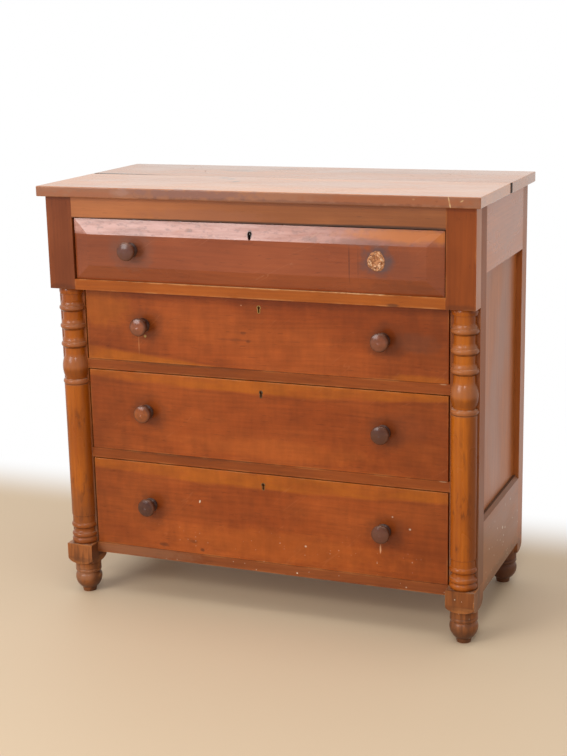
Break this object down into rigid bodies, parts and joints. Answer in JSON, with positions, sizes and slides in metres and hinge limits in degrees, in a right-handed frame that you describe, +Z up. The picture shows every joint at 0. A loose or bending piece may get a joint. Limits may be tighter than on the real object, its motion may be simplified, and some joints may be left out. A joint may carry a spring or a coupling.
{
  "type": "chest of drawers",
  "caption": "Empire style cherry chest with an overhanging fielded top drawer, plain flush lower drawers, turned half columns, ball feet, wooden knobs and a plain board top",
  "frame": {"origin": "on the floor, at the middle of the width and of the whole depth with the knobs", "axes": "+X along the width to the right of someone facing the front, +Y to the back, +Z up"},
  "size_m": [1.145, 0.574, 1.1],
  "materials": {
    "cherry_top": "old shellac on cherry, worn and scratched",
    "cherry_case": "old shellac on cherry",
    "cherry_amber": "old shellac on paler cherry",
    "cherry_panel": "old shellac on a wide cherry board",
    "cherry_turned": "old shellac on turned cherry",
    "cherry_front": "old shellac on cherry with pale sapwood streaks",
    "poplar": "bare, planed, darkened by age",
    "knob_wood": "dark stained, satin",
    "brass": "tarnished",
    "lock_iron": "blackened iron"
  },
  "bodies": {
    "case": {"top_front_board": "cherry_top", "top_rear_board": "cherry_top", "frieze_rail": "cherry_case", "soffit_rail": "cherry_amber", "upper_drawer_blade": "cherry_case", "lower_drawer_blade": "cherry_case", "bottom_front_rail": "cherry_case", "drawer_runners": "poplar", "drawer_guides": "poplar", "drawer_stops": "poplar", "back_rails": "poplar", "back_boards": "poplar", "front_post_left": "cherry_case", "rear_post_left": "cherry_case", "frieze_block_left": "cherry_case", "half_column_left": "cherry_turned", "front_foot_left": "cherry_turned", "side_panel_left": "cherry_panel", "side_top_rail_left": "cherry_case", "side_bottom_rail_left": "cherry_case", "front_post_right": "cherry_case", "rear_post_right": "cherry_case", "frieze_block_right": "cherry_case", "half_column_right": "cherry_turned", "front_foot_right": "cherry_turned", "side_panel_right": "cherry_panel", "side_top_rail_right": "cherry_case", "side_bottom_rail_right": "cherry_case"},
    "top_drawer": {"top_drawer_front": "cherry_front", "top_drawer_sides": "poplar", "top_drawer_back": "poplar", "top_drawer_bottom": "poplar", "top_drawer_lock": "lock_iron", "top_drawer_knob_left": "knob_wood", "top_drawer_broken_tenon": "knob_wood"},
    "top_drawer_bolt": {"top_drawer_lock_bolt": "lock_iron"},
    "second_drawer": {"second_drawer_front": "cherry_front", "second_drawer_sides": "poplar", "second_drawer_back": "poplar", "second_drawer_bottom": "poplar", "second_drawer_lock": "lock_iron", "second_drawer_knobs": "knob_wood", "second_drawer_escutcheon": "brass"},
    "second_drawer_bolt": {"second_drawer_lock_bolt": "lock_iron"},
    "third_drawer": {"third_drawer_front": "cherry_front", "third_drawer_sides": "poplar", "third_drawer_back": "poplar", "third_drawer_bottom": "poplar", "third_drawer_lock": "lock_iron", "third_drawer_knobs": "knob_wood", "third_drawer_escutcheon": "brass"},
    "third_drawer_bolt": {"third_drawer_lock_bolt": "lock_iron"},
    "bottom_drawer": {"bottom_drawer_front": "cherry_front", "bottom_drawer_sides": "poplar", "bottom_drawer_back": "poplar", "bottom_drawer_bottom": "poplar", "bottom_drawer_lock": "lock_iron", "bottom_drawer_knobs": "knob_wood", "bottom_drawer_escutcheon": "brass"},
    "bottom_drawer_bolt": {"bottom_drawer_lock_bolt": "lock_iron"}
  },
  "joints": [
    {"name": "top_drawer_slide", "type": "slide", "parent": "case", "child": "top_drawer", "axis": [0, -1, 0], "range_m": [0, 0.36]},
    {"name": "top_drawer_bolt_slide", "type": "slide", "parent": "top_drawer", "child": "top_drawer_bolt", "axis": [0, 0, 1], "range_m": [0, 0.009]},
    {"name": "second_drawer_slide", "type": "slide", "parent": "case", "child": "second_drawer", "axis": [0, -1, 0], "range_m": [0, 0.36]},
    {"name": "second_drawer_bolt_slide", "type": "slide", "parent": "second_drawer", "child": "second_drawer_bolt", "axis": [0, 0, 1], "range_m": [0, 0.009]},
    {"name": "third_drawer_slide", "type": "slide", "parent": "case", "child": "third_drawer", "axis": [0, -1, 0], "range_m": [0, 0.36]},
    {"name": "third_drawer_bolt_slide", "type": "slide", "parent": "third_drawer", "child": "third_drawer_bolt", "axis": [0, 0, 1], "range_m": [0, 0.009]},
    {"name": "bottom_drawer_slide", "type": "slide", "parent": "case", "child": "bottom_drawer", "axis": [0, -1, 0], "range_m": [0, 0.36]},
    {"name": "bottom_drawer_bolt_slide", "type": "slide", "parent": "bottom_drawer", "child": "bottom_drawer_bolt", "axis": [0, 0, 1], "range_m": [0, 0.009]}
  ]
}
